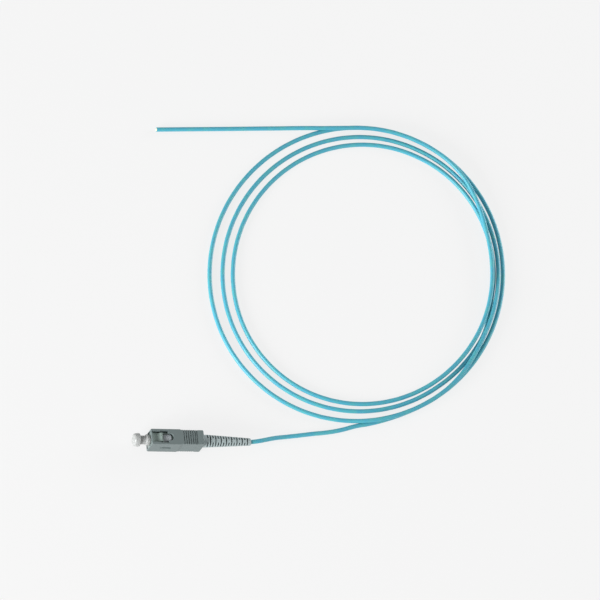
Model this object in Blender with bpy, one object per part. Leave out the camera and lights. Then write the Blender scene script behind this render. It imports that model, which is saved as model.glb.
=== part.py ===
"""Fibre optic pigtail: a push-pull plug with its dust cap, a slotted boot and a coiled 2 mm cable."""

import math

import bmesh
import bpy
from mathutils import Matrix, Vector

mm = 0.001

# Clearances
running = 0.1 * mm  # between pieces that slide on each other
seated = 0.3 * mm  # between end faces that rest on each other
held = 0.05 * mm  # between pieces that are pressed or crimped together
overcut = 1.0 * mm  # how far a cutter runs past what it cuts
touching = 0.001 * mm  # points nearer than this are one
round_steps = 32
boot_round_steps = 24
buffer_round_steps = 12

# Grip housing, measured along the plug from its front face
housing_length = 25.0 * mm
housing_width = 7.4 * mm  # across the key side, along Y
housing_height = 9.0 * mm  # across the two windows, along Z
side_wall = 0.65 * mm
window_wall = 0.9 * mm
rim_chamfer = 0.2 * mm
front_rim = 0.45 * mm
window_length = 10.2 * mm
window_width = 5.2 * mm
window_middle_start = 4.5 * mm
window_middle_length = 3.6 * mm
window_middle_width = 5.8 * mm
window_rear_width = 3.5 * mm
slot_start = 5.1 * mm
slot_length = 5.2 * mm
slot_width = 1.1 * mm
waist_start = 14.0 * mm
waist_depth = 0.25 * mm
travel = 1.9 * mm  # how far the housing slides forward on the plug frame
groove_count = 6
groove_pitch = 1.05 * mm
groove_width = 0.45 * mm
groove_depth = 0.4 * mm
groove_margin = 0.3 * mm  # between the last groove and the ramp
ramp_drop = 0.45 * mm
ramp_length = 1.2 * mm
rear_lip_length = 2.45 * mm
rear_chamfer = 0.35 * mm
rear_round = 0.6 * mm
key_width = 2.2 * mm
key_height = 0.85 * mm
key_start = 2.4 * mm
key_length = 9.6 * mm
key_ramp = 1.0 * mm

# Plug frame
frame_start = 0.4 * mm
frame_length = 13.6 * mm
recess_depth = 0.6 * mm  # of the frame's outside under the housing's window
recess_end = 11.3 * mm
recess_ramp = 0.5 * mm
catch_start = 2.2 * mm
catch_toe = 0.1 * mm  # step at the foot of the catch's ramp
catch_ramp_length = 1.7 * mm
catch_ramp_rise = 0.4 * mm
catch_face_length = 0.9 * mm  # the steep face that an adapter's hook climbs
catch_top_length = 0.7 * mm
catch_width = 4.1 * mm
catch_height = 0.7 * mm  # over the frame's full height
catch_root = 0.2 * mm  # how far the catch reaches into the frame's wall
frame_chamfer = 0.6 * mm
front_bore = 4.9 * mm
front_bore_depth = 5.6 * mm
web_thickness = 0.9 * mm
latch_window_start = 6.1 * mm
latch_window_length = 4.2 * mm
latch_window_width = 3.8 * mm
bump_diameter = 0.9 * mm
bump_height = 0.55 * mm
bump_root = 0.3 * mm  # how far the bump reaches into the frame's wall

# Ferrule, its flange and the spring behind it
ferrule_diameter = 2.5 * mm
ferrule_length = 10.5 * mm
ferrule_tip = 0.3 * mm
ferrule_chamfer = 0.3 * mm
ferrule_chamfer_length = 0.6 * mm
collar_length = 1.7 * mm
collar_diameter = 3.9 * mm
tail_diameter = 2.9 * mm
tail_length = 4.1 * mm
wire_diameter = 0.3 * mm
spring_turns = 6
spring_points_per_turn = 16

# Stop ring and crimp sleeve
skirt_wall = 0.35 * mm
spring_seat_ahead = 0.8 * mm  # of the collar's front face
spring_seat_thickness = 1.4 * mm
barb_height = 1.0 * mm
barb_toe = 0.3 * mm  # thickness of the barb at its front
barb_ramp_length = 1.4 * mm
barb_round = 0.3 * mm
barb_side_gap = 0.2 * mm  # to the sides of the latch window
barb_rear_gap = 0.4 * mm  # to the rear of the latch window
stop_collar_diameter = 5.7 * mm
stop_collar_length = 2.3 * mm
crimp_tail_diameter = 3.5 * mm
crimp_tail_length = 4.9 * mm
yarn_space = 0.2 * mm
crimp_wall = 0.3 * mm
crimp_neck_length = 3.3 * mm
crimp_step = 0.7 * mm

# Cable
cable_diameter = 2.0 * mm
buffer_diameter = 0.9 * mm
buffer_clearance = 0.2 * mm
cord_spacing = 5.0 * mm  # between the points of a laid cable
cable_straight_length = 8.0 * mm  # inside the boot's end

# Boot
boot_root_diameter = 5.8 * mm
boot_end_diameter = 3.36 * mm
boot_beyond_housing = 23.2 * mm
boot_straight = 2.3 * mm
boot_crimp_clearance = 0.2 * mm
boot_bore_clearance = 0.1 * mm
boot_slot_floor = 0.15 * mm  # wall left between a slot and the bore
boot_end_round = 0.35 * mm
boot_slot_start = 2.25 * mm  # from the housing's rear face
boot_slot_levels = 16
boot_slot_pitch = 1.273 * mm
boot_slot_width = 0.55 * mm
boot_slot_arc = math.radians(140)
boot_turn = math.radians(14)

# Dust cap
cap_head_length = 2.65 * mm
cap_head_diameter = 6.3 * mm
cap_head_front_diameter = 5.7 * mm
cap_front_round = 0.9 * mm
cap_rear_round = 0.5 * mm
cap_neck_length = 3.2 * mm
cap_neck_diameter = 4.0 * mm
cap_flange_length = 1.6 * mm
cap_flange_diameter = 5.1 * mm
cap_sleeve_length = 4.9 * mm
cap_sleeve_diameter = 4.4 * mm
cap_tip_room = 1.5 * mm

# Coil: three turns seen from above as ovals, stretched along one bearing
coil_stretch = 1.152
coil_bearing = math.radians(50)
coil_turns = (
    {"centre": (97.16 * mm, 85.98 * mm), "radius": 67.05 * mm},
    {"centre": (98.81 * mm, 86.04 * mm), "radius": 62.71 * mm},
    {"centre": (100.13 * mm, 85.95 * mm), "radius": 59.29 * mm},
)
coil_web = 0.8 * mm
coil_steps = 72
lobe_steps = 6

# Derived places
axis_z = housing_height / 2
front_x = -housing_length / 2
rear_x = front_x + housing_length
ramp_start = housing_length - rear_lip_length - ramp_length
groove_start = ramp_start - groove_margin - groove_width - (groove_count - 1) * groove_pitch
frame_width = housing_width - 2 * (side_wall + running)
frame_height = housing_height - 2 * (window_wall + running)
frame_end = frame_start + frame_length
web_start = frame_start + front_bore_depth
web_end = web_start + web_thickness
collar_start = web_end + seated
collar_end = collar_start + collar_length
tail_end = collar_end + tail_length
skirt_start = web_end + seated
skirt_inner = collar_diameter / 2 + running
skirt_outer = skirt_inner + skirt_wall
rear_bore_radius = skirt_outer + running
stop_collar_start = frame_end + seated
spring_seat_start = stop_collar_start - spring_seat_ahead
spring_seat_end = spring_seat_start + spring_seat_thickness
stop_collar_end = stop_collar_start + stop_collar_length
crimp_tail_end = stop_collar_end + crimp_tail_length
crimp_start = stop_collar_end + seated
crimp_inner = crimp_tail_diameter / 2 + yarn_space
crimp_outer = crimp_inner + crimp_wall
crimp_neck_inner = cable_diameter / 2 + running
crimp_neck_outer = crimp_neck_inner + crimp_wall
crimp_neck_start = crimp_tail_end + seated + crimp_step
crimp_end = crimp_neck_start + crimp_neck_length
cable_start = crimp_tail_end + seated
boot_start = stop_collar_end + seated
boot_end = housing_length + boot_beyond_housing
housing_bore_radius = max(boot_root_diameter, stop_collar_diameter) / 2 + running
shoulder_of_housing = frame_end + travel + running
barb_width = latch_window_width - 2 * barb_side_gap
latch_floor = collar_diameter / 2  # of the latch window over the web, from the plug's axis


def along(distance):
    """X of a place given by its distance behind the housing's front face."""
    return front_x + distance


def finish_material(name, colour, roughness, metallic=0.0):
    material = bpy.data.materials.new(name)
    material.use_nodes = True
    shader = material.node_tree.nodes["Principled BSDF"]
    shader.inputs["Base Color"].default_value = (*colour, 1.0)
    shader.inputs["Roughness"].default_value = roughness
    shader.inputs["Metallic"].default_value = metallic
    material.diffuse_color = (*colour, 1.0)
    return material


def link_object(name, data, material=None):
    thing = bpy.data.objects.new(name, data)
    bpy.context.scene.collection.objects.link(thing)
    if material:
        data.materials.append(material)
    return thing


def close_mesh(name, bm):
    bmesh.ops.recalc_face_normals(bm, faces=bm.faces[:])
    mesh = bpy.data.meshes.new(name)
    bm.to_mesh(mesh)
    bm.free()
    return mesh


def add_piece(name, bm, material):
    mesh = close_mesh(name, bm)
    mesh.shade_smooth()
    mesh.set_sharp_from_angle(angle=math.radians(35))
    return link_object(name, mesh, material)


def add_tool(name, bm):
    """A solid that only cuts or extends a piece."""
    tool = link_object(name, close_mesh(name, bm))
    tool.hide_render = True
    tool.display_type = "WIRE"
    return tool


def apply_tool(piece, tool, operation):
    step = piece.modifiers.new(tool.name, "BOOLEAN")
    step.operation = operation
    step.solver = "EXACT"
    step.object = tool


def add_box(bm, low, high):
    size = [b - a for a, b in zip(low, high)]
    centre = [(a + b) / 2 for a, b in zip(low, high)]
    place = Matrix.Translation(centre) @ Matrix.Diagonal((*size, 1.0))
    bmesh.ops.create_cube(bm, size=1.0, matrix=place)


def add_slab(bm, outline, low_y, high_y):
    """A side outline of (x, z) points, pulled out along Y."""
    corners = [bm.verts.new((x, low_y, z)) for x, z in outline]
    face = bm.faces.new(corners)
    pulled = bmesh.ops.extrude_face_region(bm, geom=[face])
    moved = [v for v in pulled["geom"] if isinstance(v, bmesh.types.BMVert)]
    bmesh.ops.translate(bm, vec=(0, high_y - low_y, 0), verts=moved)


def add_turned(bm, outline, steps=round_steps):
    """A closed outline of (distance behind the front face, radius), spun about the plug's axis."""
    corners = [bm.verts.new((along(x), 0, axis_z + r)) for x, r in outline]
    edges = [bm.edges.new((a, b)) for a, b in zip(corners, corners[1:])]
    if outline[0][1] > 0:
        edges.append(bm.edges.new((corners[-1], corners[0])))
    bmesh.ops.spin(
        bm,
        geom=corners + edges,
        cent=(0, 0, axis_z),
        axis=(1, 0, 0),
        angle=math.tau,
        steps=steps,
        use_merge=True,
    )
    bmesh.ops.remove_doubles(bm, verts=bm.verts[:], dist=touching)


def mirrored_about_axis(outline):
    """The same (x, z) outline on the plug's underside."""
    return [(x, 2 * axis_z - z) for x, z in reversed(outline)]


def housing_side_outline():
    """Side view of the housing from its front to its rear, along the window side."""
    top = housing_height
    points = [(along(0), top - rim_chamfer), (along(rim_chamfer), top)]
    for k in range(groove_count):
        left = along(groove_start + k * groove_pitch)
        points += [(left, top), (left, top - groove_depth)]
        points += [(left + groove_width, top - groove_depth), (left + groove_width, top)]
    points += [(along(ramp_start), top), (along(ramp_start), top - ramp_drop)]
    points += [(along(ramp_start + ramp_length), top)]
    points += [(rear_x - rear_chamfer, top), (rear_x, top - rear_chamfer)]
    return points + mirrored_about_axis(points)


def cut_window(housing, side):
    """An opening in the window wall: wider in its middle, then narrow with a round end."""
    front = window_width / 2
    middle = window_middle_width / 2
    narrow = window_rear_width / 2
    arc_centre = front_rim + window_length - narrow
    middle_end = window_middle_start + window_middle_length
    half = [(front_rim, front), (window_middle_start, front), (window_middle_start, middle)]
    half += [(middle_end, middle), (middle_end, narrow)]
    arc_steps = 8
    for k in range(arc_steps // 2):
        angle = math.pi / 2 - math.pi * k / arc_steps
        half.append((arc_centre + narrow * math.cos(angle), narrow * math.sin(angle)))
    outline = half + [(arc_centre + narrow, 0)] + [(d, -y) for d, y in reversed(half)]
    bm = bmesh.new()
    inside = axis_z + side * (housing_height / 2 - window_wall - overcut)
    corners = [bm.verts.new((along(d), y, inside)) for d, y in outline]
    pulled = bmesh.ops.extrude_face_region(bm, geom=[bm.faces.new(corners)])
    moved = [v for v in pulled["geom"] if isinstance(v, bmesh.types.BMVert)]
    bmesh.ops.translate(bm, vec=(0, 0, side * (window_wall + 2 * overcut)), verts=moved)
    apply_tool(housing, add_tool(f"window_cutter_{'top' if side > 0 else 'bottom'}", bm), "DIFFERENCE")


def build_grip_housing(material):
    half = housing_width / 2
    bm = bmesh.new()
    add_slab(bm, housing_side_outline(), -half, half)
    rear_edges = [
        e
        for e in bm.edges
        if e.verts[0].co.y * e.verts[1].co.y > 0
        and min(v.co.x for v in e.verts) > rear_x - rear_chamfer - running
    ]
    bmesh.ops.bevel(
        bm, geom=rear_edges, offset=rear_round, affect="EDGES", segments=3, profile=0.5, material=-1
    )
    front_edges = [
        e
        for e in bm.edges
        if e.verts[0].co.y * e.verts[1].co.y > 0
        and max(v.co.x for v in e.verts) < along(rim_chamfer) + running
    ]
    bmesh.ops.bevel(
        bm, geom=front_edges, offset=rim_chamfer, affect="EDGES", segments=1, profile=0.5, material=-1
    )
    housing = add_piece("grip_housing", bm, material)

    bm = bmesh.new()
    key_top = half + key_height
    add_slab(
        bm,
        [
            (along(key_start), axis_z - key_width / 2),
            (along(key_start + key_length), axis_z - key_width / 2),
            (along(key_start + key_length), axis_z + key_width / 2),
            (along(key_start), axis_z + key_width / 2),
        ],
        half - side_wall / 2,
        key_top,
    )
    for v in bm.verts:
        if v.co.y > half:
            toward = 1 if v.co.x < along(key_start + key_length / 2) else -1
            v.co.x += toward * key_ramp / 2
    apply_tool(housing, add_tool("key_block", bm), "UNION")

    bm = bmesh.new()
    for side in (-1, 1):
        near, far = sorted((side * (half - waist_depth), side * (half + overcut)))
        add_box(bm, (along(waist_start), near, -overcut), (rear_x + overcut, far, housing_height + overcut))
    apply_tool(housing, add_tool("waist_cutter", bm), "DIFFERENCE")

    bm = bmesh.new()
    inner_y = half - side_wall
    add_box(
        bm,
        (front_x - overcut, -inner_y, window_wall),
        (along(shoulder_of_housing), inner_y, housing_height - window_wall),
    )
    apply_tool(housing, add_tool("cavity_cutter", bm), "DIFFERENCE")

    bm = bmesh.new()
    bore_start = shoulder_of_housing - seated
    add_turned(
        bm,
        [
            (bore_start, 0),
            (bore_start, housing_bore_radius),
            (housing_length + overcut, housing_bore_radius),
            (housing_length + overcut, 0),
        ],
    )
    apply_tool(housing, add_tool("bore_cutter", bm), "DIFFERENCE")

    bm = bmesh.new()
    add_box(
        bm,
        (along(slot_start), -half - overcut, axis_z - slot_width / 2),
        (along(slot_start + slot_length), -inner_y + side_wall / 2, axis_z + slot_width / 2),
    )
    apply_tool(housing, add_tool("detent_slot_cutter", bm), "DIFFERENCE")
    for side in (-1, 1):
        cut_window(housing, side)
    return housing


def frame_side_outline():
    """Side view of the plug frame, lower under the window than behind it."""
    top = axis_z + frame_height / 2
    points = [
        (along(frame_start), top - recess_depth),
        (along(recess_end), top - recess_depth),
        (along(recess_end + recess_ramp), top),
        (along(frame_end), top),
    ]
    return points + mirrored_about_axis(points)


def catch_outline():
    """Side view of the upper catch: a gentle ramp, a steep face and a flat top."""
    top = axis_z + frame_height / 2
    foot = top - recess_depth
    root = foot - catch_root
    face_start = catch_start + catch_ramp_length
    top_start = face_start + catch_face_length
    catch_end = top_start + catch_top_length
    return [
        (along(catch_start), root),
        (along(catch_start), foot + catch_toe),
        (along(face_start), foot + catch_toe + catch_ramp_rise),
        (along(top_start), top + catch_height),
        (along(catch_end), top + catch_height),
        (along(catch_end), root),
    ]


def latch_window_outline():
    """Side view of the upper latch window's cut: shallow over the web and deep behind it."""
    step = max(web_end, latch_window_start + running)
    shallow = axis_z + latch_floor
    deep = axis_z + skirt_outer / 2
    high = axis_z + frame_height / 2 + overcut
    end = latch_window_start + latch_window_length
    return [
        (along(latch_window_start), shallow),
        (along(latch_window_start), high),
        (along(end), high),
        (along(end), deep),
        (along(step), deep),
        (along(step), shallow),
    ]


def build_plug_frame(material):
    half_y = frame_width / 2
    bm = bmesh.new()
    add_slab(bm, frame_side_outline(), -half_y, half_y)
    long_edges = [
        e
        for e in bm.edges
        if abs(e.verts[0].co.y - e.verts[1].co.y) < touching
        and abs(e.verts[0].co.x - e.verts[1].co.x) > running
    ]
    bmesh.ops.bevel(
        bm, geom=long_edges, offset=frame_chamfer, affect="EDGES", segments=1, profile=0.5, material=-1
    )
    frame = add_piece("plug_frame", bm, material)

    for name, turn in (("top", list), ("bottom", mirrored_about_axis)):
        bm = bmesh.new()
        add_slab(bm, turn(catch_outline()), -catch_width / 2, catch_width / 2)
        apply_tool(frame, add_tool(f"catch_{name}", bm), "UNION")
        bm = bmesh.new()
        add_slab(bm, turn(latch_window_outline()), -latch_window_width / 2, latch_window_width / 2)
        apply_tool(frame, add_tool(f"latch_window_{name}", bm), "DIFFERENCE")

    bump_x = along(slot_start) + running + bump_diameter / 2
    bump_y = -half_y + (bump_root - bump_height) / 2
    bm = bmesh.new()
    bmesh.ops.create_cone(
        bm,
        cap_ends=True,
        segments=16,
        radius1=bump_diameter / 2,
        radius2=bump_diameter / 2,
        depth=bump_height + bump_root,
        matrix=Matrix.Translation((bump_x, bump_y, axis_z)) @ Matrix.Rotation(math.pi / 2, 4, "X"),
    )
    apply_tool(frame, add_tool("detent_bump", bm), "UNION")

    bm = bmesh.new()
    hole = ferrule_diameter / 2 + running
    add_turned(
        bm,
        [
            (frame_start - overcut, 0),
            (frame_start - overcut, front_bore / 2),
            (web_start, front_bore / 2),
            (web_start, hole),
            (web_end, hole),
            (web_end, rear_bore_radius),
            (frame_end + overcut, rear_bore_radius),
            (frame_end + overcut, 0),
        ],
    )
    apply_tool(frame, add_tool("frame_bore_cutter", bm), "DIFFERENCE")
    return frame


def build_ferrule(material):
    radius = ferrule_diameter / 2
    end = ferrule_tip + ferrule_length
    bm = bmesh.new()
    add_turned(
        bm,
        [
            (ferrule_tip, 0),
            (ferrule_tip, radius - ferrule_chamfer),
            (ferrule_tip + ferrule_chamfer_length, radius),
            (end, radius),
            (end, 0),
        ],
    )
    return add_piece("ferrule", bm, material)


def build_ferrule_flange(material):
    grip = ferrule_diameter / 2 + held
    fibre_hole = buffer_diameter / 2 + buffer_clearance
    seat = ferrule_tip + ferrule_length + seated
    bm = bmesh.new()
    add_turned(
        bm,
        [
            (collar_start, grip),
            (collar_start, collar_diameter / 2),
            (collar_end, collar_diameter / 2),
            (collar_end, tail_diameter / 2),
            (tail_end, tail_diameter / 2),
            (tail_end, fibre_hole),
            (seat, fibre_hole),
            (seat, grip),
        ],
    )
    return add_piece("ferrule_flange", bm, material)


def build_spring(material):
    start = collar_end + wire_diameter / 2 + running
    end = spring_seat_start - wire_diameter / 2 - running
    radius = (tail_diameter / 2 + skirt_inner) / 2
    count = spring_turns * spring_points_per_turn
    curve = bpy.data.curves.new("spring", "CURVE")
    curve.dimensions = "3D"
    curve.bevel_depth = wire_diameter / 2
    curve.bevel_resolution = 1
    curve.use_fill_caps = True
    line = curve.splines.new("POLY")
    line.points.add(count)
    for k in range(count + 1):
        angle = math.tau * k / spring_points_per_turn
        x = along(start + (end - start) * k / count)
        place = (x, radius * math.cos(angle), axis_z + radius * math.sin(angle), 1.0)
        line.points[k].co = place
    return link_object("spring", curve, material)


def build_stop_ring(material):
    collar = stop_collar_diameter / 2
    tail = crimp_tail_diameter / 2
    passage = tail_diameter / 2 + running + held
    fibre_hole = buffer_diameter / 2 + buffer_clearance
    bm = bmesh.new()
    add_turned(
        bm,
        [
            (skirt_start, skirt_inner),
            (skirt_start, skirt_outer),
            (stop_collar_start, skirt_outer),
            (stop_collar_start, collar),
            (stop_collar_end, collar),
            (stop_collar_end, tail),
            (crimp_tail_end, tail),
            (crimp_tail_end, fibre_hole),
            (spring_seat_end, fibre_hole),
            (spring_seat_end, passage),
            (spring_seat_start, passage),
            (spring_seat_start, skirt_inner),
        ],
    )
    ring = add_piece("stop_ring", bm, material)

    barb_start = latch_window_start + running
    barb_end = latch_window_start + latch_window_length - barb_rear_gap
    root_start = max(skirt_start, barb_start)
    inner = skirt_outer - skirt_wall / 2
    outer = skirt_outer + barb_height
    overhang = math.hypot(latch_floor + running, barb_width / 2)
    bm = bmesh.new()
    add_turned(
        bm,
        [
            (root_start, inner),
            (root_start, overhang),
            (barb_start, overhang),
            (barb_start, overhang + barb_toe),
            (barb_start + barb_ramp_length, outer),
            (barb_end - barb_round, outer),
            (barb_end, outer - barb_round),
            (barb_end, inner),
        ],
    )
    barbs = add_tool("barb_ring", bm)
    bm = bmesh.new()
    for side in (-1, 1):
        low, high = sorted((axis_z, axis_z + side * 2 * outer))
        add_box(
            bm,
            (along(barb_start) - overcut, -barb_width / 2, low),
            (along(barb_end) + overcut, barb_width / 2, high),
        )
    apply_tool(barbs, add_tool("barb_keeper", bm), "INTERSECT")
    apply_tool(ring, barbs, "UNION")
    return ring


def build_crimp_sleeve(material):
    bm = bmesh.new()
    add_turned(
        bm,
        [
            (crimp_start, crimp_inner),
            (crimp_start, crimp_outer),
            (crimp_tail_end, crimp_outer),
            (crimp_neck_start, crimp_neck_outer),
            (crimp_end, crimp_neck_outer),
            (crimp_end, crimp_neck_inner),
            (crimp_neck_start - crimp_wall, crimp_neck_inner),
            (crimp_tail_end + seated, crimp_inner),
        ],
    )
    return add_piece("crimp_sleeve", bm, material)


def build_tight_buffer(material):
    front = tail_end - buffer_clearance
    bm = bmesh.new()
    radius = buffer_diameter / 2
    end = cable_start - seated / 2
    add_turned(bm, [(front, 0), (front, radius), (end, radius), (end, 0)], steps=buffer_round_steps)
    return add_piece("tight_buffer", bm, material)


def boot_radius(distance):
    """Outer radius of the boot at a distance behind the housing's front face."""
    taper_start = housing_length + boot_straight
    share = max(0.0, (distance - taper_start) / (boot_end - taper_start))
    return (boot_root_diameter + (boot_end_diameter - boot_root_diameter) * share) / 2


def add_sector(bm, x, inner, outer, middle, arc, thickness):
    """A flat part-ring about the plug's axis, centred on the angle middle."""
    steps = 10
    angles = [middle - arc / 2 + arc * k / steps for k in range(steps + 1)]
    ring = [(outer * math.sin(a), outer * math.cos(a)) for a in angles]
    ring += [(inner * math.sin(a), inner * math.cos(a)) for a in reversed(angles)]
    corners = [bm.verts.new((x - thickness / 2, y, axis_z + z)) for y, z in ring]
    outline = [bm.edges.new((a, b)) for a, b in zip(corners, corners[1:] + corners[:1])]
    filled = bmesh.ops.triangle_fill(bm, use_beauty=True, edges=outline)
    faces = [g for g in filled["geom"] if isinstance(g, bmesh.types.BMFace)]
    pulled = bmesh.ops.extrude_face_region(bm, geom=faces)
    moved = [v for v in pulled["geom"] if isinstance(v, bmesh.types.BMVert)]
    bmesh.ops.translate(bm, vec=(thickness, 0, 0), verts=moved)


def build_boot(material):
    over_crimp = crimp_outer + boot_crimp_clearance
    over_neck = crimp_neck_outer + running
    bore = cable_diameter / 2 + boot_bore_clearance
    bm = bmesh.new()
    add_turned(
        bm,
        [
            (boot_start, over_crimp),
            (boot_start, boot_root_diameter / 2),
            (housing_length + boot_straight, boot_root_diameter / 2),
            (boot_end - boot_end_round, boot_radius(boot_end - boot_end_round)),
            (boot_end, boot_end_diameter / 2 - boot_end_round),
            (boot_end, bore),
            (crimp_end + seated, bore),
            (crimp_end + seated, over_neck),
            (crimp_neck_start + seated, over_neck),
            (crimp_tail_end + seated, over_crimp),
        ],
        steps=boot_round_steps,
    )
    boot = add_piece("boot", bm, material)
    bm = bmesh.new()
    floor = bore + boot_slot_floor
    for level in range(boot_slot_levels):
        x = rear_x + boot_slot_start + level * boot_slot_pitch
        first = math.pi / 2 if level % 2 == 0 else 0.0
        for middle in (first, first + math.pi):
            add_sector(
                bm, x, floor, boot_root_diameter, middle - boot_turn, boot_slot_arc, boot_slot_width
            )
    apply_tool(boot, add_tool("boot_slot_cutter", bm), "DIFFERENCE")
    return boot


def rounded_corner(x, radius, size, start, end, steps=4):
    """Points of a round corner of an outline, about the centre (x, radius), between two angles."""
    angles = [math.radians(start + (end - start) * k / steps) for k in range(steps + 1)]
    return [(x + size * math.cos(a), radius + size * math.sin(a)) for a in angles]


def build_dust_cap(material):
    flange_end = frame_start - seated
    flange_start = flange_end - cap_flange_length
    head_end = flange_start - cap_neck_length
    head_start = head_end - cap_head_length
    sleeve_end = flange_end + cap_sleeve_length
    bore = ferrule_diameter / 2 + running
    bore_end = ferrule_tip - cap_tip_room
    head_front = cap_head_front_diameter / 2
    head = cap_head_diameter / 2
    neck = cap_neck_diameter / 2
    flange = cap_flange_diameter / 2
    outline = [(head_start, 0)]
    outline += rounded_corner(
        head_start + cap_front_round, head_front - cap_front_round, cap_front_round, 180, 100
    )
    outline += rounded_corner(head_end - cap_rear_round, head - cap_rear_round, cap_rear_round, 95, 0)
    outline += [(head_end, neck), (flange_start, neck)]
    outline += rounded_corner(
        flange_start + cap_rear_round, flange - cap_rear_round, cap_rear_round, 180, 90
    )
    outline += [(flange_end, flange), (flange_end, cap_sleeve_diameter / 2)]
    outline += [(sleeve_end, cap_sleeve_diameter / 2), (sleeve_end, bore), (bore_end, bore), (bore_end, 0)]
    bm = bmesh.new()
    add_turned(bm, outline)
    return add_piece("dust_cap", bm, material)


def smooth_route(points, spacing):
    """Evenly spaced points on a smooth curve through hand-chosen ones."""
    given = [Vector(p) for p in points]
    padded = [2 * given[0] - given[1]] + given + [2 * given[-1] - given[-2]]
    dense = []
    fine = 24
    for a, b, c, d in zip(padded, padded[1:], padded[2:], padded[3:]):
        for k in range(fine):
            t = k / fine
            curved = (2 * a - 5 * b + 4 * c - d) * t * t + (3 * b - a - 3 * c + d) * t**3
            dense.append((2 * b + (c - a) * t + curved) / 2)
    dense.append(given[-1])
    lengths = [0.0]
    for a, b in zip(dense, dense[1:]):
        lengths.append(lengths[-1] + (b - a).length)
    count = max(2, round(lengths[-1] / spacing))
    even = []
    k = 0
    for n in range(count + 1):
        target = lengths[-1] * n / count
        while k < len(dense) - 2 and lengths[k + 1] < target:
            k += 1
        share = (target - lengths[k]) / (lengths[k + 1] - lengths[k])
        even.append(dense[k].lerp(dense[k + 1], share))
    return even


def build_cord(name, route, material):
    curve = bpy.data.curves.new(name, "CURVE")
    curve.dimensions = "3D"
    curve.bevel_depth = cable_diameter / 2
    curve.bevel_resolution = 2
    curve.use_fill_caps = True
    points = smooth_route(route, cord_spacing)
    line = curve.splines.new("POLY")
    line.points.add(len(points) - 1)
    for spot, place in zip(line.points, points):
        spot.co = (*place, 1.0)
    return link_object(name, curve, material)


def build_cable_coil(material):
    """Three turns lying side by side, as one ring with a valley between them."""
    radius = cable_diameter / 2
    web_angle = math.asin(coil_web / 2 / radius)
    open_arc = math.pi - web_angle

    def arc(turn, start, end, steps):
        angles = [start + (end - start) * k / steps for k in range(steps + 1)]
        return [(turn["radius"] + radius * math.cos(a), radius + radius * math.sin(a)) for a in angles]

    outer, middle, inner = coil_turns
    outline = arc(outer, -open_arc, open_arc, lobe_steps)
    outline += arc(middle, web_angle, open_arc, lobe_steps // 2)
    outline += arc(inner, web_angle, math.tau - web_angle, lobe_steps)
    outline += arc(middle, math.pi + web_angle, math.tau - web_angle, lobe_steps // 2)

    bm = bmesh.new()
    corners = [bm.verts.new((r, 0, z)) for r, z in outline]
    edges = [bm.edges.new((a, b)) for a, b in zip(corners, corners[1:] + corners[:1])]
    bmesh.ops.spin(
        bm,
        geom=corners + edges,
        cent=(0, 0, 0),
        axis=(0, 0, 1),
        angle=math.tau,
        steps=coil_steps,
        use_merge=True,
    )
    along_stretch = Vector((math.cos(coil_bearing), math.sin(coil_bearing), 0))
    across = Vector((along_stretch.y, -along_stretch.x, 0))
    for v in bm.verts:
        distance = math.hypot(v.co.x, v.co.y)
        turn = min(coil_turns, key=lambda t: abs(distance - t["radius"]))
        outward = (across * v.co.x + along_stretch * v.co.y * coil_stretch) / distance
        offset = outward.normalized() * (distance - turn["radius"])
        v.co = Vector((*turn["centre"], v.co.z)) + outward * turn["radius"] + offset
    return add_piece("cable_coil", bm, material)


def main():
    for thing in list(bpy.data.objects):
        bpy.data.objects.remove(thing, do_unlink=True)

    housing_plastic = finish_material("housing_plastic", (0.19, 0.25, 0.25), 0.45)
    frame_plastic = finish_material("frame_plastic", (0.17, 0.22, 0.22), 0.45)
    boot_rubber = finish_material("boot_rubber", (0.22, 0.27, 0.28), 0.55)
    cap_plastic = finish_material("cap_plastic", (0.62, 0.64, 0.63), 0.35)
    zirconia = finish_material("zirconia", (0.86, 0.85, 0.80), 0.15)
    nickel = finish_material("nickel_plate", (0.62, 0.60, 0.56), 0.3, metallic=1.0)
    spring_steel = finish_material("spring_steel", (0.55, 0.55, 0.56), 0.3, metallic=1.0)
    stop_plastic = finish_material("stop_ring_plastic", (0.24, 0.25, 0.29), 0.4)
    cable_jacket = finish_material("cable_jacket", (0.09, 0.42, 0.52), 0.4)
    buffer_coat = finish_material("buffer_coat", (0.75, 0.74, 0.70), 0.4)

    build_grip_housing(housing_plastic)
    build_plug_frame(frame_plastic)
    build_ferrule(zirconia)
    build_ferrule_flange(nickel)
    build_spring(spring_steel)
    build_stop_ring(stop_plastic)
    build_crimp_sleeve(nickel)
    build_tight_buffer(buffer_coat)
    build_boot(boot_rubber)
    build_dust_cap(cap_plastic)

    floor = cable_diameter / 2
    lead_route = [
        (along(cable_start), 0, axis_z),
        (along(boot_end - cable_straight_length), 0, axis_z),
        (along(boot_end), 0, axis_z),
        (39.5 * mm, 0.55 * mm, 4.3 * mm),
        (44.0 * mm, 1.8 * mm, 3.4 * mm),
        (49.0 * mm, 3.2 * mm, 2.2 * mm),
        (54.0 * mm, 4.15 * mm, 1.3 * mm),
        (59.5 * mm, 4.95 * mm, 1.06 * mm),
        (67.0 * mm, 6.0 * mm, 1.01 * mm),
        (75.0 * mm, 7.0 * mm, floor),
        (81.0 * mm, 8.2 * mm, floor),
        (89.0 * mm, 10.42 * mm, floor),
    ]
    tail_route = [
        (85.5 * mm, 158.4 * mm, floor),
        (79.0 * mm, 158.15 * mm, floor),
        (59.0 * mm, 157.3 * mm, floor),
        (40.0 * mm, 156.5 * mm, floor),
        (20.0 * mm, 155.7 * mm, floor),
        (8.0 * mm, 155.2 * mm, floor),
    ]
    build_cord("cable_lead", lead_route, cable_jacket)
    build_cable_coil(cable_jacket)
    build_cord("cable_tail", tail_route, cable_jacket)


main()
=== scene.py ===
# Fibre optic pigtail on a pale floor: square push-pull plug with its dust cap on,
# slotted bend relief, and a thin aqua cable in three loose turns with a bare cut end.
import math

import bmesh
import bpy
from mathutils import Matrix, Vector


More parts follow.
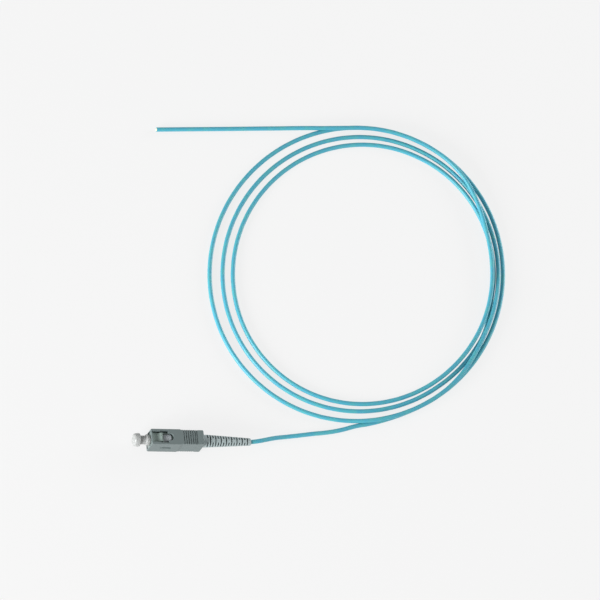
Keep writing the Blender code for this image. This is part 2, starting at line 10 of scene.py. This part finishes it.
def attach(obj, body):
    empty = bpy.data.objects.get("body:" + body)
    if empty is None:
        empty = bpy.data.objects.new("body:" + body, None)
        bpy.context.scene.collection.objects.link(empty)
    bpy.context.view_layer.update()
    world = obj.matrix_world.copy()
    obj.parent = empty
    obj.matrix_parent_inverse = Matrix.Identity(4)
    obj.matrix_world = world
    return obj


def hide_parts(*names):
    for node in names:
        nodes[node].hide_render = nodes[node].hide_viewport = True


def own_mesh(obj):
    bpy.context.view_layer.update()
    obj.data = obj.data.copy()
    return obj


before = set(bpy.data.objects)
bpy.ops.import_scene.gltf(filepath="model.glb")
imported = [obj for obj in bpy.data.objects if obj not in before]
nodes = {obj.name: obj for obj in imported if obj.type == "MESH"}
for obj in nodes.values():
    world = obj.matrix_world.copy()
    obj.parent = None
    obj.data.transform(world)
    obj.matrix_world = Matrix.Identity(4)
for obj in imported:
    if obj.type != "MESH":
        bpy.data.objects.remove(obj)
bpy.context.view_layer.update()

scene = bpy.context.scene
mm = 0.001
axisHeight = 4.5 * mm  # of the plug's axis over the floor
frontFace = -12.5 * mm  # X of the housing's front face
plugAxis = Vector((1, 0, 0))
weldGap = 0.002 * mm  # corners closer than this are one
sharpFrom = 40.0  # degrees between faces, past which an edge stays sharp
roundSegments = 5  # of a turned piece's rounded corners

# Camera: looks at the middle of the whole from the photo's angle, through a long lens.
# Angles are in degrees.
camera = {
    "azimuth": -40.0,
    "elevation": 60.6,
    "roll": 1.4,
    "lens": 600.0,
    "distance": 4.563,
    "lookAt": (68.28 * mm, 72.05 * mm, 1.0 * mm),
}


def placeCamera():
    azimuth, elevation = math.radians(camera["azimuth"]), math.radians(camera["elevation"])
    flat = math.cos(elevation)
    back = Vector((math.sin(azimuth) * flat, -math.cos(azimuth) * flat, math.sin(elevation)))
    level = (plugAxis - back * back.x).normalized()
    right = Matrix.Rotation(math.radians(camera["roll"]), 3, back) @ level
    data = bpy.data.cameras.new("viewCamera")
    data.lens = camera["lens"]
    data.clip_end = 50.0
    viewer = bpy.data.objects.new("viewCamera", data)
    scene.collection.objects.link(viewer)
    turned = Matrix((right, back.cross(right), back)).transposed().to_4x4()
    spot = Vector(camera["lookAt"]) + back * camera["distance"]
    viewer.matrix_world = Matrix.Translation(spot) @ turned
    scene.camera = viewer


placeCamera()
print("camera placed")


def colour(hexText):
    # sRGB hex to the linear values that a shader wants
    parts = [int(hexText[i : i + 2], 16) / 255 for i in (1, 3, 5)]
    return (*[c / 12.92 if c <= 0.04045 else ((c + 0.055) / 1.055) ** 2.4 for c in parts], 1.0)


def addNode(material, kind, inputs=None, **settings):
    made = material.node_tree.nodes.new("ShaderNode" + kind)
    for key, value in settings.items():
        setattr(made, key, value)
    feed(material, made, inputs or {})
    return made


def feed(material, made, inputs):
    for key, value in inputs.items():
        if isinstance(value, bpy.types.NodeSocket):
            material.node_tree.links.new(value, made.inputs[key])
        else:
            made.inputs[key].default_value = value


def newFinish(name, constants):
    material = bpy.data.materials.new(name)
    material.use_nodes = True
    shader = material.node_tree.nodes["Principled BSDF"]
    feed(material, shader, constants)
    return material, shader


def objectPlace(material, scale=(1, 1, 1), location=(0, 0, 0)):
    place = addNode(material, "TexCoord").outputs["Object"]
    return addNode(material, "Mapping", {"Vector": place, "Scale": scale, "Location": location}).outputs[0]


def mixColour(material, share, first, second):
    mixed = addNode(material, "Mix", {0: share, 6: first, 7: second}, data_type="RGBA")
    return mixed.outputs[2]


def mouldedPlastic(name, base, tint, roughness):
    # PBT moulded in a spark-eroded tool: an even dull skin with a fine grain and hardly any colour drift.
    # The real grain is about 0.03 mm, drawn at 0.12 mm so that it shows.
    material, shader = newFinish(name, {"IOR": 1.55})
    place = objectPlace(material)
    drift = addNode(
        material, "TexNoise", {"Vector": place, "Scale": 1 / (4.0 * mm), "Detail": 3.0}
    ).outputs[0]
    grain = addNode(
        material, "TexNoise", {"Vector": place, "Scale": 1 / (0.12 * mm), "Detail": 2.0}
    ).outputs[0]
    dull = addNode(
        material, "MapRange",
        {
            "Value": grain, "From Min": 0.3, "From Max": 0.7,
            "To Min": roughness - 0.05, "To Max": roughness + 0.05,
        },
    ).outputs[0]
    bump = addNode(material, "Bump", {"Height": grain, "Strength": 0.12, "Distance": 0.02 * mm}).outputs[0]
    feed(material, shader, {
        "Base Color": mixColour(material, drift, colour(base), colour(tint)),
        "Roughness": dull,
        "Normal": bump,
    })
    return material


def jacketFinish():
    # Low smoke jacket, extruded: satin aqua, with a faint unevenness from the yarn under it and
    # slightly greener patches where the pigment is thinner.
    material, shader = newFinish("extrudedAquaJacket", {"IOR": 1.49, "Coat Weight": 0.0})
    place = objectPlace(material)
    patches = addNode(
        material, "TexNoise", {"Vector": place, "Scale": 1 / (3.0 * mm), "Detail": 4.0}
    ).outputs[0]
    share = addNode(
        material, "MapRange", {"Value": patches, "From Min": 0.42, "From Max": 0.68, "To Max": 0.75}
    ).outputs[0]
    skin = addNode(
        material, "TexNoise", {"Vector": place, "Scale": 1 / (0.5 * mm), "Detail": 3.0}
    ).outputs[0]
    dull = addNode(
        material, "MapRange",
        {"Value": skin, "From Min": 0.3, "From Max": 0.7, "To Min": 0.36, "To Max": 0.48},
    ).outputs[0]
    bump = addNode(material, "Bump", {"Height": skin, "Strength": 0.3, "Distance": 0.03 * mm}).outputs[0]
    feed(material, shader, {
        "Base Color": mixColour(material, share, colour("#4BA8BF"), colour("#56B3B5")),
        "Roughness": dull,
        "Normal": bump,
    })
    return material


def bootFinish(root, end, taperFrom, taperTo):
    # Thermoplastic elastomer, moulded: dull mid grey, with painted shade that darkens it down in the slots.
    # A place's depth is the taper's radius there less its own.
    material, shader = newFinish("greyElastomerPaintedSlotShade", {"IOR": 1.50})
    across = objectPlace(material, scale=(0, 1, 1), location=(0, 0, -axisHeight))
    reach = addNode(material, "VectorMath", {0: across}, operation="LENGTH").outputs[1]
    lengthwise = addNode(material, "SeparateXYZ", {0: objectPlace(material)}).outputs[0]
    skin = addNode(
        material, "MapRange",
        {"Value": lengthwise, "From Min": taperFrom, "From Max": taperTo, "To Min": root, "To Max": end},
    ).outputs[0]
    # painted shade: the deeper a place lies below the taper, the darker it is painted
    depth = addNode(material, "Math", {0: skin, 1: reach}, operation="SUBTRACT").outputs[0]
    share = addNode(
        material, "MapRange", {"Value": depth, "From Min": 0.04 * mm, "From Max": 0.4 * mm}
    ).outputs[0]
    place = objectPlace(material)
    grain = addNode(
        material, "TexNoise", {"Vector": place, "Scale": 1 / (0.2 * mm), "Detail": 2.0}
    ).outputs[0]
    bump = addNode(material, "Bump", {"Height": grain, "Strength": 0.25, "Distance": 0.03 * mm}).outputs[0]
    drift = addNode(
        material, "TexNoise", {"Vector": place, "Scale": 1 / (3.0 * mm), "Detail": 2.0}
    ).outputs[0]
    light = mixColour(material, drift, colour("#9CA9AA"), colour("#A6B3B4"))
    dull = addNode(
        material, "MapRange",
        {"Value": grain, "From Min": 0.3, "From Max": 0.7, "To Min": 0.5, "To Max": 0.62},
    ).outputs[0]
    feed(material, shader, {
        # painted shade in the slots: #26343A is the dark that the deepest places are painted
        "Base Color": mixColour(material, share, light, colour("#26343A")),
        "Roughness": dull,
        "Normal": bump,
    })
    return material


def capFinish():
    # Natural low density polyethylene, moulded: milky and waxy, with light spreading inside it
    material, shader = newFinish("milkyPolyethylene", {
        "IOR": 1.51,
        "Subsurface Weight": 0.6,
        "Subsurface Scale": 0.6 * mm,
        "Subsurface Radius": (1.0, 1.0, 0.95),
    })
    place = objectPlace(material)
    cloud = addNode(
        material, "TexNoise", {"Vector": place, "Scale": 1 / (2.0 * mm), "Detail": 3.0}
    ).outputs[0]
    fine = addNode(
        material, "TexNoise", {"Vector": place, "Scale": 1 / (0.15 * mm), "Detail": 2.0}
    ).outputs[0]
    dull = addNode(
        material, "MapRange",
        {"Value": fine, "From Min": 0.3, "From Max": 0.7, "To Min": 0.32, "To Max": 0.42},
    ).outputs[0]
    bump = addNode(material, "Bump", {"Height": fine, "Strength": 0.15, "Distance": 0.02 * mm}).outputs[0]
    feed(material, shader, {
        "Base Color": mixColour(material, cloud, colour("#A1A3A2"), colour("#ADAFAE")),
        "Roughness": dull,
        "Normal": bump,
    })
    return material


def turnedMetal(name, base, tint, roughness, ringWidth):
    # Turned or drawn metal, then plated: bright, with fine rings about the plug's axis
    material, shader = newFinish(name, {"Metallic": 1.0})
    place = objectPlace(material)
    rings = addNode(
        material, "TexNoise",
        {"Vector": objectPlace(material, scale=(1, 0.02, 0.02)), "Scale": 1 / ringWidth, "Detail": 2.0},
    ).outputs[0]
    drift = addNode(
        material, "TexNoise", {"Vector": place, "Scale": 1 / (1.5 * mm), "Detail": 3.0}
    ).outputs[0]
    dull = addNode(
        material, "MapRange",
        {
            "Value": rings, "From Min": 0.3, "From Max": 0.7,
            "To Min": roughness - 0.06, "To Max": roughness + 0.08,
        },
    ).outputs[0]
    bump = addNode(material, "Bump", {"Height": rings, "Strength": 0.2, "Distance": 0.01 * mm}).outputs[0]
    feed(material, shader, {
        "Base Color": mixColour(material, drift, colour(base), colour(tint)),
        "Roughness": dull,
        "Normal": bump,
    })
    return material


def evenFinish(name, base, tint, patchSize, low, high, constants):
    # Even surfaces that are only seen up close: ceramic, fibre coating, yarn.
    # Their roughness goes from low to high.
    material, shader = newFinish(name, constants)
    place = objectPlace(material)
    patches = addNode(
        material, "TexNoise", {"Vector": place, "Scale": 1 / patchSize, "Detail": 3.0}
    ).outputs[0]
    dull = addNode(
        material, "MapRange",
        {"Value": patches, "From Min": 0.3, "From Max": 0.7, "To Min": low, "To Max": high},
    ).outputs[0]
    feed(material, shader, {
        "Base Color": mixColour(material, patches, colour(base), colour(tint)),
        "Roughness": dull,
    })
    return material


housingPlastic = mouldedPlastic("spark_grained_PBT_housing", "#677373", "#6C7878", 0.46)
framePlastic = mouldedPlastic("spark_grained_PBT_frame", "#778681", "#7C8B86", 0.44)
stopPlastic = mouldedPlastic("spark_grained_PBT_stop_ring", "#A9AFB3", "#B1B7BB", 0.42)
aquaJacket = jacketFinish()
milkyPlastic = capFinish()
nickelPlate = turnedMetal("nickel_plated_brass", "#C9C3B7", "#D2CCC0", 0.28, 0.08 * mm)
springWire = turnedMetal("drawn_spring_steel", "#BDBDBE", "#C8C8C9", 0.3, 0.05 * mm)
zirconia = evenFinish("polished_zirconia", "#F0EEE6", "#F6F4EE", 1.0 * mm, 0.10, 0.16, {"IOR": 2.15})
bufferCoat = evenFinish("extruded_fibre_buffer", "#E6E3D8", "#EDEAE0", 0.6 * mm, 0.36, 0.46, {"IOR": 1.46})
aramidYarn = evenFinish("aramid_yarn", "#D9B64C", "#E6CC74", 0.1 * mm, 0.5, 0.7, {"IOR": 1.6})
print("finishes made")


def putIn(name, mesh, material, body):
    piece = bpy.data.objects.new(name, mesh)
    scene.collection.objects.link(piece)
    mesh.materials.clear()
    mesh.materials.append(material)
    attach(piece, body)
    return piece


def finishMesh(name, bm):
    bmesh.ops.recalc_face_normals(bm, faces=bm.faces[:])
    mesh = bpy.data.meshes.new(name)
    bm.to_mesh(mesh)
    bm.free()
    mesh.shade_smooth()
    mesh.set_sharp_from_angle(angle=math.radians(sharpFrom))
    return mesh


def evenShading(piece):
    # keeps flat faces flat beside their rounded edges
    smooth = piece.modifiers.new("evenShading", "WEIGHTED_NORMAL")
    smooth.keep_sharp = True
    smooth.weight = 100


def turnedShape(profile, steps):
    # profile: (x, radius, rounding) along the plug's axis, spun all the way round.
    # One that starts on the axis is solid, and any other is closed into a ring.
    bm = bmesh.new()
    corners = [bm.verts.new((x, 0, axisHeight + r)) for x, r, _ in profile]
    pairs = list(zip(corners, corners[1:]))
    if profile[0][1] > 0:
        pairs.append((corners[-1], corners[0]))
    for a, b in pairs:
        bm.edges.new((a, b))
    for corner, (_, _, rounding) in zip(corners, profile):
        if rounding:
            bmesh.ops.bevel(
                bm, geom=[corner], offset=rounding, offset_type="OFFSET", affect="VERTICES",
                segments=roundSegments, profile=0.5, material=-1,
            )
    bmesh.ops.spin(
        bm, geom=bm.verts[:] + bm.edges[:], cent=(0, 0, axisHeight), axis=plugAxis,
        angle=math.tau, steps=steps, use_merge=True,
    )
    bmesh.ops.remove_doubles(bm, verts=bm.verts[:], dist=weldGap)
    return bm


# Cable: 2 mm over its jacket, from the crimp to the cut end. Places are in mm.
cable = {
    "diameter": 2.0,
    "exit": (35.7, 0.0, 4.5),  # where it leaves the bend relief
    "length": 1.68,  # metres, from end to end
    "roundness": 8,  # of the bevel
    "smoothness": 5,  # steps between two places
    "lead": [
        (9.3, 0, 4.5), (18.5, 0, 4.5), (27.7, 0, 4.5), (35.7, 0, 4.5), (39.5, 0.55, 4.3),
        (44.0, 1.8, 3.4), (49.0, 3.2, 2.2), (54.0, 4.15, 1.3), (59.5, 4.95, 1.06), (67.0, 6.0, 1.01),
        (75.0, 7.0, 1.0), (81.0, 8.2, 1.0), (89.0, 10.42, 1.0),
    ],
    # ovals that the turns follow on the floor: middle, and half width across the stretch
    "bands": [(97.16, 85.98, 67.05), (98.81, 86.04, 62.71), (100.13, 85.95, 59.29)],
    "stretch": 1.152,
    "stretchBearing": 50.0,
    "bearing": 37.2,  # degrees from the start of an oval to the right of the photo
    # degrees round from the right, band, height of the cable's middle.
    # Band 0.5 is halfway from the first oval to the second.
    "turns": [
        (-85, -0.38, 1.0), (-80, -0.22, 1.0), (-74, -0.09, 1.0), (-66, 0.0, 1.0), (-50, -0.02, 1.0),
        (-20, -0.07, 1.0), (0, -0.08, 1.0), (20, -0.07, 1.0), (50, -0.02, 1.0), (66, 0.0, 1.0),
        (262, 0.0, 1.0), (269, 0.0, 1.7), (275, 0.0, 2.6), (281, 0.0, 3.05), (290, 0.0, 3.1),
        (306, 0.0, 3.1), (314, 0.1, 3.1), (322, 0.38, 3.1), (330, 0.65, 3.1), (336, 0.72, 3.1),
        (350, 0.7, 3.1), (356, 0.7, 2.6), (363, 0.7, 1.5), (369, 0.71, 1.0), (400, 0.88, 1.0),
        (425, 1.0, 1.0), (665, 1.0, 1.0), (694, 0.8, 1.0), (702, 1.2, 1.0), (710, 1.57, 1.0),
        (720, 1.58, 1.0), (760, 1.85, 1.0), (785, 2.0, 1.0),
        (1010, 2.0, 1.0), (1017, 2.0, 1.4), (1025, 2.0, 2.5), (1033, 2.0, 3.05), (1060, 1.9, 3.1),
        (1090, 1.86, 3.1), (1100, 1.55, 3.1), (1112, 0.8, 3.1), (1124, 0.15, 3.1), (1132, 0.0, 3.1),
        (1160, 0.0, 3.1),
    ],
    "turnStep": 7.5,  # degrees from point to point
    "lean": (0.362, 0.432),  # X and Y that a raised strand moves towards the camera for each mm up
    "tail": [
        (107.5, 158.2, 3.1), (100.7, 158.0, 3.1), (94.4, 157.8, 3.0), (87.7, 157.7, 2.6),
        (81.1, 157.8, 2.0), (74.5, 157.8, 1.4), (67.8, 157.65, 1.05),
        (59.0, 157.3, 1.0), (49.5, 156.9, 1.0), (40.0, 156.5, 1.0), (30.0, 156.1, 1.0),
        (20.0, 155.7, 1.0), (14.0, 155.45, 1.0), (8.0, 155.2, 1.0),
    ],
    # the cut face: radius, and how far it stands out of the jacket
    "cutYarn": (0.68, 0.04),
    "cutBuffer": (0.45, 0.10),
    "cutDepth": 0.3,
    "cutRound": 0.03,
    "cutSteps": 24,
}


def between(low, high, share):
    return [a + (b - a) * share for a, b in zip(low, high)]


def turnPlace(degrees):
    # the place on the turns at so many degrees round, in mm
    keys = cable["turns"]
    before, after = next((a, b) for a, b in zip(keys, keys[1:]) if degrees <= b[0])
    _, band, height = between(before, after, (degrees - before[0]) / (after[0] - before[0]))
    inner = 1 if band >= 1 else 0
    x, y, radius = between(cable["bands"][inner], cable["bands"][inner + 1], band - inner)
    angle = math.radians(degrees + cable["bearing"])
    across, onward = radius * math.cos(angle), radius * cable["stretch"] * math.sin(angle)
    turned = math.radians(cable["stretchBearing"])
    x += across * math.sin(turned) + onward * math.cos(turned)
    y += onward * math.sin(turned) - across * math.cos(turned)
    raised = height - cable["diameter"] / 2
    return (x - cable["lean"][0] * raised, y - cable["lean"][1] * raised, height)


def laidCurve(name, places):
    data = bpy.data.curves.new(name, "CURVE")
    data.dimensions = "3D"
    data.bevel_depth = cable["diameter"] / 2 * mm
    data.bevel_resolution = cable["roundness"]
    data.resolution_u = cable["smoothness"]
    data.use_fill_caps = True
    line = data.splines.new("BEZIER")
    line.bezier_points.add(len(places) - 1)
    for spot, place in zip(line.bezier_points, places):
        spot.co = Vector(place) * mm
        spot.handle_left_type = spot.handle_right_type = "AUTO"
    piece = bpy.data.objects.new(name, data)
    scene.collection.objects.link(piece)
    return piece


def layCable():
    first, last = cable["turns"][0][0], cable["turns"][-1][0]
    count = round((last - first) / cable["turnStep"])
    turns = [turnPlace(first + (last - first) * k / count) for k in range(count + 1)]
    jacket = laidCurve("cable", cable["lead"] + turns + cable["tail"])
    jacket.data.materials.append(aquaJacket)
    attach(jacket, "plug_and_cable")
    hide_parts("cable_lead", "cable_coil", "cable_tail")

    # the cut face: yarn packed round the buffered fibre
    end, before = Vector(cable["tail"][-1]), Vector(cable["tail"][-2])
    outward = (end - before).normalized()
    for name, finish in (("cutYarn", aramidYarn), ("cutBuffer", bufferCoat)):
        radius, proud = cable[name]
        middle = end + outward * (proud - cable["cutDepth"] / 2)
        bm = bmesh.new()
        place = Matrix.Translation(middle * mm) @ outward.to_track_quat("Z", "Y").to_matrix().to_4x4()
        bmesh.ops.create_cone(
            bm, cap_ends=True, segments=cable["cutSteps"], radius1=radius * mm, radius2=radius * mm,
            depth=cable["cutDepth"] * mm, matrix=place,
        )
        rims = [e for e in bm.edges if e.calc_face_angle() > math.radians(sharpFrom)]
        bmesh.ops.bevel(
            bm, geom=rims, offset=cable["cutRound"] * mm, affect="EDGES",
            segments=2, profile=0.5, material=-1,
        )
        putIn(name, finishMesh(name, bm), finish, "plug_and_cable")


layCable()
print("cable laid")


# Bend relief: a tapered sleeve, slotted from its sides and from above and below in turn
boot = {
    "rootRadius": 2.9 * mm,
    "rootRound": 0.15 * mm,
    "endRadius": 1.68 * mm,
    "start": 4.4 * mm,
    "taperFrom": 14.8 * mm,
    "end": 35.7 * mm,
    "endRound": 0.35 * mm,
    "bore": 1.1 * mm,
    "boreRound": 0.1 * mm,
    "crimpBore": 2.45 * mm,
    "crimpBoreEnd": 9.4 * mm,
    "neckBore": 1.5 * mm,
    "neckBoreStart": 10.2 * mm,
    "neckBoreEnd": 13.8 * mm,
    "steps": 64,
    "levels": 16,
    "firstSlot": 14.75 * mm,
    "pitch": 1.273 * mm,
    "slotWidth": 0.55 * mm,
    "slotFloor": 0.15 * mm,
    "slotReach": 1.3,  # times the root's radius, so that each slot is open outwards
    "slotArc": 140.0,  # degrees of each slot round the axis
    "slotSteps": 20,
    "turned": 14.0,  # degrees that the slots are turned round from upright
}
greyElastomer = bootFinish(boot["rootRadius"], boot["endRadius"], boot["taperFrom"], boot["end"])


def buildBoot():
    profile = [
        (boot["start"], boot["crimpBore"], 0),
        (boot["start"], boot["rootRadius"], boot["rootRound"]),
        (boot["taperFrom"], boot["rootRadius"], 0),
        (boot["end"], boot["endRadius"], boot["endRound"]),
        (boot["end"], boot["bore"], boot["boreRound"]),
        (boot["neckBoreEnd"], boot["bore"], 0),
        (boot["neckBoreEnd"], boot["neckBore"], 0),
        (boot["neckBoreStart"], boot["neckBore"], 0),
        (boot["crimpBoreEnd"], boot["crimpBore"], 0),
    ]
    body = bpy.data.objects.new("bendRelief", finishMesh("bendRelief", turnedShape(profile, boot["steps"])))
    scene.collection.objects.link(body)

    bm = bmesh.new()
    low = boot["bore"] + boot["slotFloor"]
    high = boot["rootRadius"] * boot["slotReach"]
    for level in range(boot["levels"]):
        x = boot["firstSlot"] + level * boot["pitch"]
        middle = 90.0 if level % 2 == 0 else 0.0
        for side in (0.0, 180.0):
            start = math.radians(middle + side - boot["turned"] - boot["slotArc"] / 2)
            rim = []
            for dx, r in ((-0.5, low), (0.5, low), (0.5, high), (-0.5, high)):
                place = (x + dx * boot["slotWidth"], r * math.sin(start), axisHeight + r * math.cos(start))
                rim.append(bm.verts.new(place))
            bmesh.ops.spin(
                bm, geom=[bm.faces.new(rim)], cent=(0, 0, axisHeight), axis=-plugAxis,
                angle=math.radians(boot["slotArc"]), steps=boot["slotSteps"], use_merge=False,
            )
    cutter = bpy.data.objects.new("slotCutter", finishMesh("slotCutter", bm))
    scene.collection.objects.link(cutter)
    cut = body.modifiers.new("slots", "BOOLEAN")
    cut.operation, cut.solver, cut.object = "DIFFERENCE", "EXACT", cutter
    shaped = bpy.data.meshes.new_from_object(body.evaluated_get(bpy.context.evaluated_depsgraph_get()))
    bpy.data.objects.remove(cutter)
    bpy.data.objects.remove(body)
    bm = bmesh.new()
    bm.from_mesh(shaped)
    bmesh.ops.dissolve_degenerate(bm, edges=bm.edges[:], dist=weldGap)
    mesh = finishMesh("bendRelief", bm)
    piece = putIn("bendRelief", mesh, greyElastomer, "plug_and_cable")
    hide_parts("boot")


buildBoot()
print("bend relief built")

# Dust cap: knob, neck, shoulder and the sleeve on the ferrule. X is from the housing's front face.
dustCap = {
    "knobStart": -7.35 * mm,
    "knobEnd": -4.45 * mm,
    "knobFront": 2.85 * mm,
    "knobRadius": 3.15 * mm,
    "frontRound": 0.95 * mm,
    "rearRound": 0.5 * mm,
    "neckRadius": 2.0 * mm,
    "neckRound": 0.3 * mm,
    "neckEnd": -1.5 * mm,
    "shoulderRadius": 2.55 * mm,
    "shoulderRound": 0.35 * mm,
    "shoulderEnd": 0.1 * mm,
    "shoulderRearRound": 0.1 * mm,
    "sleeveRadius": 2.2 * mm,
    "sleeveEnd": 5.0 * mm,
    "sleeveRound": 0.15 * mm,
    "bore": 1.35 * mm,
    "boreStart": -1.2 * mm,
    "steps": 72,
}


def buildCap():
    cap = dustCap
    profile = [
        (frontFace + cap["knobStart"], 0, 0),
        (frontFace + cap["knobStart"], cap["knobFront"], cap["frontRound"]),
        (frontFace + cap["knobEnd"], cap["knobRadius"], cap["rearRound"]),
        (frontFace + cap["knobEnd"], cap["neckRadius"], cap["neckRound"]),
        (frontFace + cap["neckEnd"], cap["neckRadius"], cap["neckRound"]),
        (frontFace + cap["neckEnd"], cap["shoulderRadius"], cap["shoulderRound"]),
        (frontFace + cap["shoulderEnd"], cap["shoulderRadius"], cap["shoulderRearRound"]),
        (frontFace + cap["shoulderEnd"], cap["sleeveRadius"], 0),
        (frontFace + cap["sleeveEnd"], cap["sleeveRadius"], cap["sleeveRound"]),
        (frontFace + cap["sleeveEnd"], cap["bore"], cap["sleeveRound"]),
        (frontFace + cap["boreStart"], cap["bore"], 0),
        (frontFace + cap["boreStart"], 0, 0),
    ]
    mesh = finishMesh("pullCap", turnedShape(profile, cap["steps"]))
    piece = putIn("pullCap", mesh, milkyPlastic, "cap")
    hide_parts("dust_cap")


buildCap()
print("dust cap built")

# Housing and plug frame: the edges of the real mouldings are rounded this much
shells = {
    "housingRound": 0.1 * mm,
    "frameRound": 0.08 * mm,
    "segments": 2,
    "hardFrom": 35.0,  # degrees between faces, past which an edge is rounded
    "flatWithin": 0.5,  # degrees between triangles of one flat face
}


def softenedCopy(nodeName, pieceName, width):
    # the CAD node's own shape, with its hard edges rounded as a moulding's are
    bm = bmesh.new()
    bm.from_mesh(nodes[nodeName].data)
    bmesh.ops.remove_doubles(bm, verts=bm.verts[:], dist=weldGap)
    bmesh.ops.dissolve_limit(
        bm, angle_limit=math.radians(shells["flatWithin"]), verts=bm.verts[:], edges=bm.edges[:],
        delimit={"NORMAL"},
    )
    hardFrom = math.radians(shells["hardFrom"])
    hard = [e for e in bm.edges if e.is_manifold and e.calc_face_angle() > hardFrom]
    bmesh.ops.bevel(
        bm, geom=hard, offset=width, offset_type="OFFSET", affect="EDGES", segments=shells["segments"],
        profile=0.5, material=-1, clamp_overlap=True, loop_slide=True,
    )
    return finishMesh(pieceName, bm)


def buildShells():
    mesh = softenedCopy("grip_housing", "gripShell", shells["housingRound"])
    shell = putIn("gripShell", mesh, housingPlastic, "grip")
    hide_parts("grip_housing")
    evenShading(shell)
    mesh = softenedCopy("plug_frame", "frameBody", shells["frameRound"])
    body = putIn("frameBody", mesh, framePlastic, "plug_and_cable")
    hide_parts("plug_frame")
    evenShading(body)


buildShells()
print("housing and frame built")


def buildSpring():
    bm = bmesh.new()
    bm.from_mesh(nodes["spring"].data)
    bmesh.ops.remove_doubles(bm, verts=bm.verts[:], dist=weldGap)
    piece = putIn("floatSpring", finishMesh("floatSpring", bm), springWire, "plug_and_cable")
    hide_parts("spring")
    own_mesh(piece)


buildSpring()
print("spring built")

# Pieces whose CAD shape is right get their finish only
keptFinishes = {
    "ferrule": zirconia,
    "ferrule_flange": nickelPlate,
    "crimp_sleeve": nickelPlate,
    "stop_ring": stopPlastic,
    "tight_buffer": bufferCoat,
}
for name, finish in keptFinishes.items():
    nodes[name].data.materials.clear()
    nodes[name].data.materials.append(finish)
print("inner pieces finished")

# Studio: a lit pale floor, a soft light low at the plug's front, weaker ones behind and above, a pale room
studio = {
    "floorSize": 3.0,  # metres
    "floorMiddle": (80.0 * mm, 70.0 * mm, -0.02 * mm),
    "floorColour": "#6A6A6A",
    "floorGlow": 0.782,
    "room": 0.40,
    "aim": (70.0 * mm, 70.0 * mm, 0.0),
    "lights": [
        # name, bearing and rise in degrees, distance, width and height in metres, watts
        ("lowFrontLight", 208.0, 15.0, 1.6, 0.9, 0.5, 36.0),
        ("sideFill", 20.0, 14.0, 1.6, 1.0, 0.5, 18.0),
        ("topLight", 120.0, 70.0, 1.8, 1.2, 1.2, 0.8),
    ],
}


def buildStudio():
    bm = bmesh.new()
    bmesh.ops.create_grid(bm, x_segments=1, y_segments=1, size=studio["floorSize"] / 2)
    mesh = bpy.data.meshes.new("floor")
    bm.to_mesh(mesh)
    bm.free()
    # Matt white acrylic sheet, lit from below: no shadow on it is deep
    paper, shader = newFinish("litAcrylicSheet", {
        "Base Color": colour(studio["floorColour"]),
        "Roughness": 0.9,
        "Specular IOR Level": 0.0,
        "Emission Color": (1.0, 1.0, 1.0, 1.0),
        "Emission Strength": studio["floorGlow"],
    })
    mesh.materials.append(paper)
    floor = bpy.data.objects.new("floor", mesh)
    scene.collection.objects.link(floor)
    floor.location = studio["floorMiddle"]

    for name, bearing, rise, distance, width, height, watts in studio["lights"]:
        data = bpy.data.lights.new(name, "AREA")
        data.shape = "RECTANGLE"
        data.size, data.size_y = width, height
        data.energy = watts
        light = bpy.data.objects.new(name, data)
        scene.collection.objects.link(light)
        a, e = math.radians(bearing), math.radians(rise)
        toward = Vector((math.cos(a) * math.cos(e), math.sin(a) * math.cos(e), math.sin(e)))
        light.location = Vector(studio["aim"]) + toward * distance
        light.rotation_euler = toward.to_track_quat("Z", "Y").to_euler()

    world = bpy.data.worlds.new("paleRoom")
    scene.world = world
    world.use_nodes = True
    world.node_tree.nodes["Background"].inputs["Color"].default_value = (1.0, 1.0, 1.0, 1.0)
    world.node_tree.nodes["Background"].inputs["Strength"].default_value = studio["room"]
    scene.view_settings.view_transform = "Standard"


buildStudio()
print("studio lit")
